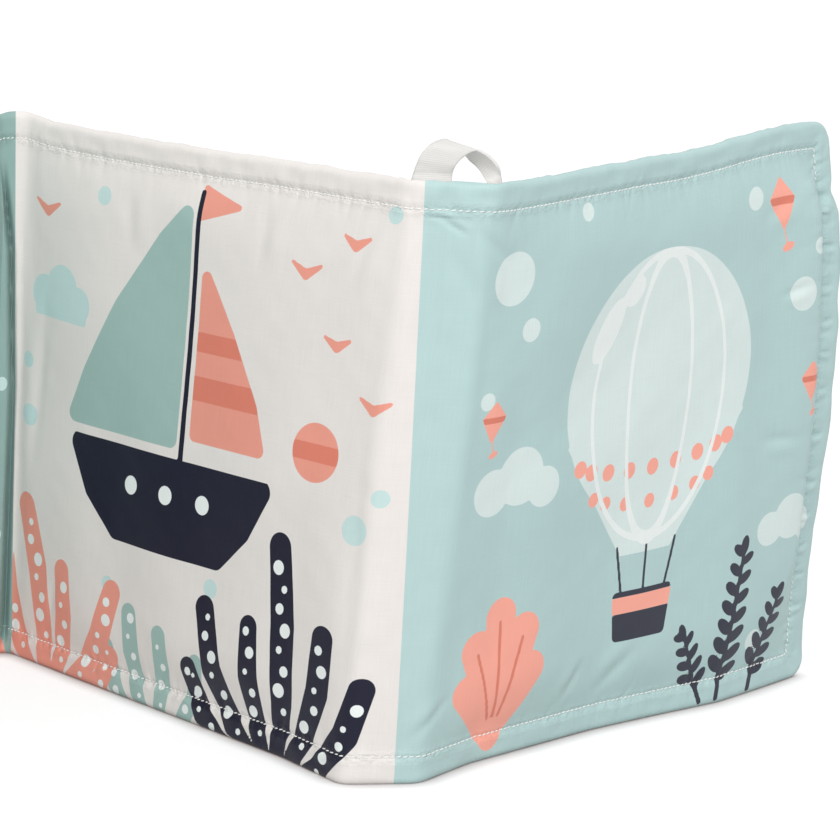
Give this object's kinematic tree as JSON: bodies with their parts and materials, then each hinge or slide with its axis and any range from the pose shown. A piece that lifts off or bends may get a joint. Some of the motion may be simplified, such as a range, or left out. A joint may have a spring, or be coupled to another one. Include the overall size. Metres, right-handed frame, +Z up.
{
  "type": "soft crib book",
  "caption": "Free-standing fold-out soft book of padded cloth pages in a zigzag, joined by unpadded cloth folds, with webbing loops sewn into its top edge.",
  "frame": {"origin": "middle of the footprint's bounding box, on the surface that the book stands on", "axes": "+X along the length of the zigzag, to the right as seen from the front; +Y to the back, away from the printed front pages; +Z up"},
  "size_m": [0.583, 0.1522, 0.2127],
  "materials": {
    "cloth_off_white": "fine satin-faced polyester, off-white ground",
    "cloth_teal": "fine satin-faced polyester, grey teal ground",
    "cloth_aqua": "fine satin-faced polyester, pale aqua ground",
    "cloth_back": "fine satin-faced polyester, pale mint ground",
    "wadding_fibre": "matt polyester wadding, hidden inside",
    "webbing_white": "ribbed grosgrain webbing, off-white"
  },
  "bodies": {
    "fold_2": {"fold_2_front_cloth": "cloth_teal", "fold_2_back_cloth": "cloth_back"},
    "page_3": {"front_cover_3": "cloth_off_white", "back_cover_3": "cloth_back", "wadding_3": "wadding_fibre"},
    "fold_3": {"fold_3_front_cloth": "cloth_aqua", "fold_3_back_cloth": "cloth_back"},
    "page_4": {"front_cover_4": "cloth_aqua", "back_cover_4": "cloth_back", "wadding_4": "wadding_fibre"},
    "loop_2": {"webbing_loop_2": "webbing_white"},
    "page_2": {"front_cover_2": "cloth_teal", "back_cover_2": "cloth_back", "wadding_2": "wadding_fibre"},
    "fold_1": {"fold_1_front_cloth": "cloth_off_white", "fold_1_back_cloth": "cloth_back"},
    "page_1": {"front_cover_1": "cloth_off_white", "back_cover_1": "cloth_back", "wadding_1": "wadding_fibre"},
    "loop_1": {"webbing_loop_1": "webbing_white"}
  },
  "joints": [
    {"name": "middle_fold_right", "type": "hinge", "parent": "fold_2", "child": "page_3", "pos_m": [0.0065, 0.07225, 0], "axis": [0, 0, -1], "range_deg": [-52, 38]},
    {"name": "middle_fold_left", "type": "hinge", "parent": "fold_2", "child": "page_2", "pos_m": [-0.0065, 0.07225, 0], "axis": [0, 0, 1], "range_deg": [-52, 38]},
    {"name": "right_fold_inner", "type": "hinge", "parent": "page_3", "child": "fold_3", "pos_m": [0.11942, -0.06985, 0], "axis": [0, 0, 1], "range_deg": [-45, 45]},
    {"name": "right_fold_outer", "type": "hinge", "parent": "fold_3", "child": "page_4", "pos_m": [0.14325, -0.07277, 0], "axis": [0, 0, 1], "range_deg": [-45, 45]},
    {"name": "left_fold_inner", "type": "hinge", "parent": "page_2", "child": "fold_1", "pos_m": [-0.11942, -0.06985, 0], "axis": [0, 0, -1], "range_deg": [-45, 45]},
    {"name": "left_fold_outer", "type": "hinge", "parent": "fold_1", "child": "page_1", "pos_m": [-0.14325, -0.07277, 0], "axis": [0, 0, -1], "range_deg": [-45, 45]},
    {"name": "right_loop_tilt", "type": "hinge", "parent": "fold_3", "child": "loop_2", "pos_m": [0.13124, -0.07206, 0.2006], "axis": [0.9925, -0.1219, 0], "range_deg": [-30, 30], "stiffness_Nm_per_rad": 0.003},
    {"name": "left_loop_tilt", "type": "hinge", "parent": "fold_1", "child": "loop_1", "pos_m": [-0.13124, -0.07206, 0.2006], "axis": [0.9925, 0.1219, 0], "range_deg": [-30, 30], "stiffness_Nm_per_rad": 0.003}
  ],
  "couplings": [
    {"joint": "middle_fold_left", "follows": "middle_fold_right", "ratio": 1},
    {"joint": "right_fold_outer", "follows": "right_fold_inner", "ratio": 1},
    {"joint": "left_fold_outer", "follows": "left_fold_inner", "ratio": 1}
  ]
}
